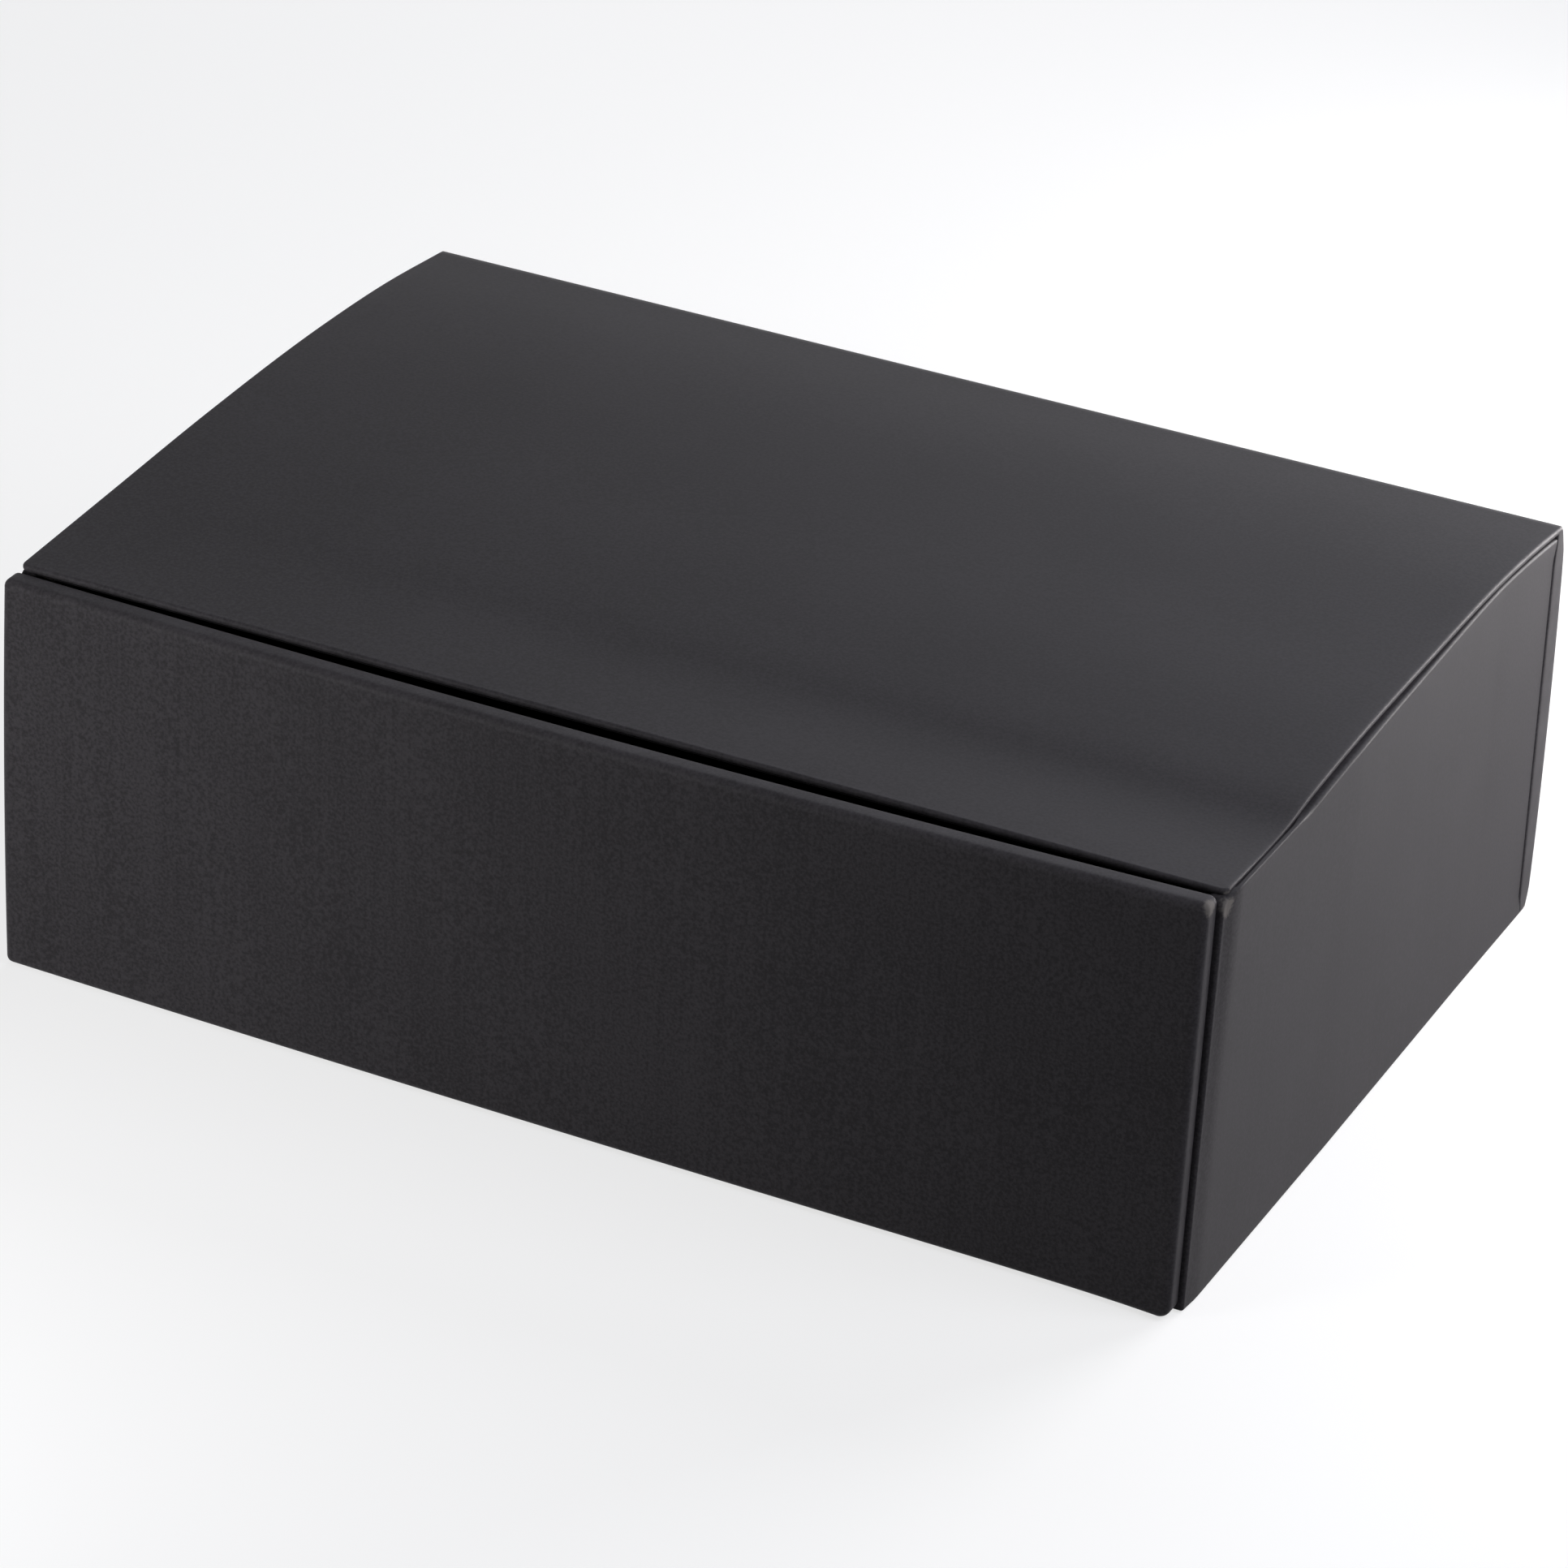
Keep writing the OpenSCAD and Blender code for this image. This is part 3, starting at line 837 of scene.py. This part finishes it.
for side_name, node, side, place, spots in (
        ("right_side_paper", "case_right_wrap", 1, right_side_place,
         [((110.2, -74.2, 72.8), 2.1, 1.0)]),
        ("left_side_paper", "case_left_wrap", -1, left_side_place,
         [((-109.7, -73.7, 72.3), 1.15, 0.5)])):
    points, faces, edges = sheet(
        (side_low[1], side_low[2]), (side_high[1] + rear_reach, side_high[2]),
        [0.6, 0.3, corner_r, 0.3], roll_over(roll_radius, plate + turned_under, 3.4), place, (90, 40))
    new_piece(side_name, "case", wrap_paper, points, faces, (side, 0, 0),
              thickness=0.15, fold=0.5 * fold_value(edges), worn=worn_value(points, spots),
              replaces=[node])

# %% [markdown]
# ## Under the box
# The wrap is turned in under the base as a frame with mitred corners, and a sheet of the same
# paper is glued over it a little short of the edges. The frame's inner edge shows through the
# sheet as a faint step.

# %% Turned-in frame and base sheet
turn_in = 14.0
sheet_inset = 2.5
step_height = 0.06


def underside(level):
    """Depth counts upwards from a level under the base."""
    def place(x, y, depth):
        return np.stack([x, y, level + depth], axis=-1)
    return place


frame_rows = np.array([[0.45, 0.10], [0.50, 0.02], [0.60, 0.0], [turn_in - 0.1, 0.0],
                       [turn_in, 0.03], [turn_in, 0.09]])
points, faces, edges = sheet((cover_low[0], cover_low[1]), (cover_high[0], cover_high[1]), [0.7] * 4,
                             frame_rows, underside(paper / 2), (60, 40), face=False)
new_piece("turned_in_frame", "case", wrap_paper, points, faces, (0, 0, -1),
          fold=fold_value(edges))


def stepped(x, y, depth):
    """The sheet lies on the floor over the frame, and a step higher inside it."""
    inner_x = cover_high[0] - turn_in
    inner_y = cover_high[1] - turn_in
    past = np.maximum(np.abs(x) - inner_x, np.abs(y) - inner_y)
    inside = np.clip(0.5 - past / 1.5, 0, 1)
    inside = inside * inside * (3 - 2 * inside)
    return np.stack([x, y, depth + step_height * inside], axis=-1)


sheet_rows = np.array([[0.15, 0.0], [0.05, 0.02], [0.0, 0.06], [0.0, 0.11]])
points, faces, edges = sheet(
    (cover_low[0] + sheet_inset, cover_low[1] + sheet_inset),
    (cover_high[0] - sheet_inset, cover_high[1] - sheet_inset), [2.0] * 4, sheet_rows, stepped,
    (150, 100))
new_piece("base_sheet", "case", wrap_paper, points, faces, (0, 0, -1),
          fold=0.3 * fold_value(edges), replaces=["case_base_sheet"])

# %% [markdown]
# ## The case's floor lining
# The lining of the case's floor comes forward over the base board's front edge and down it. In
# the open box this lip is the sill that the tray slides over. It is one profile, drawn from
# the back wall to under the sill, and carried straight across.

# %% Floor lining
def across(profile, half_width, cells):
    """Carries a line of y and z points straight along x, from side to side."""
    x = np.linspace(-half_width, half_width, cells + 1)
    grid = np.stack([np.repeat(x[:, None], len(profile), axis=1),
                     np.repeat(profile[None, :, 0], len(x), axis=0),
                     np.repeat(profile[None, :, 1], len(x), axis=0)], axis=-1)
    return grid.reshape(-1, 3), grid_faces(np.arange(grid.shape[0] * grid.shape[1]).reshape(grid.shape[:2]))


def sill_profile(back, front, top, bottom, radius, steps=6):
    """Flat from the back to the front, round the sill by a quarter circle, and down."""
    angle = np.linspace(0, math.pi / 2, steps + 1)
    floor_part = np.stack([np.linspace(back, front + radius + 0.2, 40), np.full(40, top)], axis=1)
    bend = np.stack([front + radius * (1 - np.sin(angle)), top - radius * (1 - np.cos(angle))], axis=1)
    drop = np.stack([np.full(3, front), np.linspace(top - radius - 0.2, bottom, 3)], axis=1)
    return np.concatenate([floor_part, bend, drop])


room_back = node_box("case_back_liner")[0][1]
lining_profile = sill_profile(room_back, room_low[1], room_high[2], room_low[2], roll_radius)
points, faces = across(lining_profile, node_box("case_right_liner")[0][0], 20)
new_piece("case_floor_lining", "case", lining_paper, points, faces, (0, 0, 1),
          thickness=0.15, replaces=["case_base_liner"])

# %% [markdown]
# ## The drawer's own warp
# The long front panel is not quite flat: its middle stands forward of its ends, most at the
# top, and it is twisted a little. The tray's front wall is glued to it and goes along. One
# function bends the drawer's new pieces, full at the panel and fading out behind the tray's
# front wall, and then turns them into the skew at which the drawer was left. The drawer's CAD
# nodes that stay keep their own shape.

# %% Drawer warp
bow_low = 0.8
bow_high = 1.9
foot_forward = 0.6
foot_twist = 0.9
foot_curl = 1.4
top_twist = -0.45
left_swell = 0.9
end_tilt = 0.5
warp_fades_by = 30.0


def in_drawer(x, y, z):
    """Moves y forward by a bow, which is a parabola across the width and grows with the height,
    and by a twist, which brings the right end forward at the foot, with a curl at its corner,
    and back at the top. The right end is lifted and the left end lowered, in step with the
    height. All of it fades out behind the front. Last, the result is turned askew."""
    across = x / panel_high[0]
    right = np.maximum(across, 0)
    height = z / panel_high[2]
    fade = 1 - smooth((y - wall_low[1]) / warp_fades_by)
    bow = (bow_low + (bow_high - bow_low) * height) * (1 - np.square(across))
    foot = foot_forward + foot_twist * across + foot_curl * right ** 8
    twist = foot * (1 - height) + top_twist * right * height
    lift = end_tilt * across * height
    return turned(np.stack([x, y - (bow + twist) * fade, z + lift * fade], axis=-1), drawer_turn)


print("bow of the panel", bow_low, "mm at its foot and", bow_high, "mm at its top")

# %% [markdown]
# ## Front panel
# The panel is the thickest plate: its paper rolls over all four edges and is turned in behind,
# where the backing sheet covers it a little short of the rim.

# %% Panel paper, board and backing
panel_plate = panel_high[1] - panel_low[1]
panel_backing = backing_high[1] - backing_low[1]


def panel_place(x, z, depth):
    """Depth counts from the panel's face towards the case. The left end swells to the left,
    most a little under half height, as a parabola of the height."""
    height = z / panel_high[2]
    swell = left_swell * (1 - 1.8 * np.square(height - 0.375)) * smooth(-4 * x / panel_high[0] - 3)
    return in_drawer(x - swell, panel_low[1] + depth, z)


def panel_rows(front_radius, back_radius, depth, back_reach):
    """As roll_over, with a larger quarter circle in front than at the back."""
    front = roll_over(front_radius, depth, back_reach)[:7]
    back = roll_over(back_radius, depth, back_reach)[9:]
    middle = np.array([[0, front_radius + 0.35 * (depth - front_radius - back_radius)],
                       [0, front_radius + 0.70 * (depth - front_radius - back_radius)]])
    return np.concatenate([front, middle, back])


def backing_place(x, z, depth):
    """Depth counts from the backing's face forwards, into the panel."""
    return in_drawer(x, backing_high[1] - depth, z)


panel_roll = 1.5
panel_back_roll = 0.5
panel_spots = [((109.4, -78.4, 74.6), 1.9, 1.0), ((-109.5, -78.2, 74.0), 0.9, 0.45),
               ((109.6, -81.0, 0.8), 1.0, 0.35)]
panel_corners = [1.4, 2.3, 1.4, 1.4]
points, faces, edges = sheet(
    (panel_low[0], panel_low[2]), (panel_high[0], panel_high[2]), panel_corners,
    panel_rows(panel_roll, panel_back_roll, panel_plate + panel_backing / 2, 14.0), panel_place, (70, 26))
new_piece("panel_paper", "drawer", wrap_paper, points, faces, (0, -1, 0),
          thickness=0.15, fold=fold_value(edges), worn=worn_value(points, panel_spots),
          replaces=["front_panel_wrap"])

points, faces, _ = sheet(
    (panel_low[0] + paper, panel_low[2] + paper), (panel_high[0] - paper, panel_high[2] - paper),
    [radius - paper for radius in panel_corners],
    panel_rows(panel_roll - paper, panel_back_roll - paper, panel_plate - paper, 1.0)[:-2] + [0, paper],
    panel_place, (60, 8), closed=True)
new_piece("panel_board", "drawer", greyboard, points, faces, (0, -1, 0),
          replaces=["front_panel_board"])

backing_inset = 1.6
backing_rows = np.array([[0.12, 0.0], [0.03, 0.03], [0.0, 0.09], [0.0, 0.16]])
points, faces, edges = sheet(
    (panel_low[0] + backing_inset, panel_low[2] + backing_inset),
    (panel_high[0] - backing_inset, panel_high[2] - backing_inset), [1.5] * 4, backing_rows,
    backing_place, (70, 26))
new_piece("panel_backing", "drawer", lining_paper, points, faces, (0, 1, 0),
          fold=0.3 * fold_value(edges), replaces=["front_panel_backing"])

# %% [markdown]
# ## Tray
# The tray's paper starts as a turned-in frame under the tray, comes up the four walls, rolls
# over the rim and ends a few millimetres down inside. That is one profile, carried round the
# tray's plan. The wall lining overlaps its raw end, which shows as a soft step under the rim.

# %% Tray paper and its front wall
tray_roll = 0.5
wall_thick = node_box("tray_right_wall", drawer_turn)[1][0] - wall_high[0]
rim_thick = tray_high[0] - node_box("tray_floor_liner", drawer_turn)[1][0]


def tray_place(x, y, z):
    """The third number of a row is the height itself."""
    return in_drawer(x, y, z)


def tray_profile(bottom, rim, width, inner_end, radius, steps=5):
    """Inset and height from under the tray, up outside, over the rim and down inside."""
    angle = np.linspace(0, math.pi / 2, steps + 1)
    under = np.array([[turn_in, bottom + 0.1], [turn_in, bottom], [6, bottom], [radius + 0.2, bottom]])
    low_bend = np.stack([radius * (1 - np.sin(angle)), bottom + radius * (1 - np.cos(angle))], axis=1)
    wall = np.stack([np.zeros(10), np.linspace(bottom + radius + 0.2, rim - radius - 0.2, 10)], axis=1)
    out_bend = np.stack([radius * (1 - np.cos(angle)), rim - radius * (1 - np.sin(angle))], axis=1)
    in_bend = np.stack([width - radius * (1 - np.sin(angle)), rim - radius * (1 - np.cos(angle))], axis=1)
    inner = np.stack([np.full(5, width), np.linspace(rim - radius - 0.2, inner_end, 5)], axis=1)
    return np.concatenate([under, low_bend, wall, out_bend, in_bend, inner])


tray_rows = tray_profile(tray_low[2] - 0.05, tray_high[2], rim_thick, wall_high[2], tray_roll)
points, faces, edges = sheet((tray_low[0], tray_low[1]), (tray_high[0], tray_high[1]), [0.6] * 4,
                             tray_rows, tray_place, (60, 40), face=False)
# The rim counts as a fold, so it is painted paler: burnish and a painted highlight.
rim_edges = np.where(points[:, 2] > tray_high[2] - 1.0, 0.0, 9.0)
new_piece("tray_paper", "drawer", wrap_paper, points, faces, (0, 0, -1),
          thickness=0.15, fold=0.8 * fold_value(rim_edges),
          worn=worn_value(turned(points, -drawer_turn),
                          [((sx * 105.6, y, 71.4), 0.9, 0.6) for sx in (-1, 1)
                           for y in (tray_high[1] - 0.4,)]),
          replaces=["tray_wrap"])

wall_node_low, wall_node_high = node_box("tray_front_wall", drawer_turn)


def front_wall_place(x, z, depth):
    """Depth counts from the wall's front face into the tray."""
    return in_drawer(x, wall_node_low[1] + depth, z)


points, faces, _ = sheet(
    (wall_node_low[0], wall_node_low[2]), (wall_node_high[0], wall_node_high[2]), [0.2] * 4,
    board_rows(0.12, wall_node_high[1] - wall_node_low[1]), front_wall_place, (60, 8), closed=True)
new_piece("tray_front_board", "drawer", greyboard, points, faces, (0, -1, 0),
          replaces=["tray_front_wall"])

# %% [markdown]
# ## Tray linings
# Inside, a strip of lining paper runs round the walls and a sheet lies on the floor. The strip
# rides up over the turned-in end of the wrap, and the floor sheet is cut a hair small, so its
# edge shows all round.

# %% Wall and floor linings
lap = 4.0
lap_step = 0.12
floor_gap = 0.35


def wall_lining_rows(bottom, lap_from, top, inset):
    """Flush on the wall up to the wrap's raw end, then a paper's thickness further in."""
    height = np.concatenate([np.linspace(bottom, lap_from - 1.2, 8),
                             np.linspace(lap_from - 0.6, lap_from + 1.2, 6),
                             [top - 0.1, top]])
    share = np.clip((height - lap_from + 0.6) / 1.2, 0, 1)
    step = lap_step * share * share * (3 - 2 * share)
    step[-1] -= 0.08
    return np.stack([inset + step, height], axis=1)


lining_rows = wall_lining_rows(floor_low[2], wall_high[2], wall_high[2] + lap, rim_thick)
points, faces, _ = sheet((tray_low[0], tray_low[1]), (tray_high[0], tray_high[1]), [0.6] * 4,
                         lining_rows, tray_place, (60, 40), face=False)
new_piece("tray_wall_lining", "drawer", lining_paper, points, faces[:, ::-1],
          (0, 1, 0), thickness=0.12, replaces=["tray_wall_liner"])


def floor_place(x, y, depth):
    """Depth counts down from the sheet's face, which lifts in slow waves of the glued paper."""
    wave = 0.05 * np.sin(x / 21.0 + 0.8) * np.sin(y / 17.0 + 0.3)
    return in_drawer(x, y, floor_high[2] + wave - depth)


floor_rows = np.array([[0.1, 0.0], [0.02, 0.03], [0.0, 0.08], [0.0, 0.14]])
points, faces, edges = sheet(
    (floor_low[0] + floor_gap, floor_low[1] + floor_gap),
    (floor_high[0] - floor_gap, floor_high[1] - floor_gap), [1.0] * 4, floor_rows, floor_place,
    (80, 56))
new_piece("tray_floor_lining", "drawer", lining_paper, points, faces, (0, 0, 1),
          fold=0.3 * fold_value(edges), replaces=["tray_floor_liner"])

# %% [markdown]
# ## Materials of the nodes that stay
# The boards, the flat linings and the stays keep their CAD shape. Each takes the finish of its
# slot in the record.

# %% Materials of the CAD nodes
finish_of_slot = {"black_wrap": wrap_paper, "black_liner": lining_paper,
                  "greyboard": greyboard, "kraft_tape": kraft_tape}
for subpart in frame["record"]["subparts"]:
    node_object = frame["nodes"][subpart["node"]]
    node_object.data.materials.clear()
    node_object.data.materials.append(finish_of_slot[subpart["material_slot"]])

# %% [markdown]
# ## Finish

# %% Finish
import json
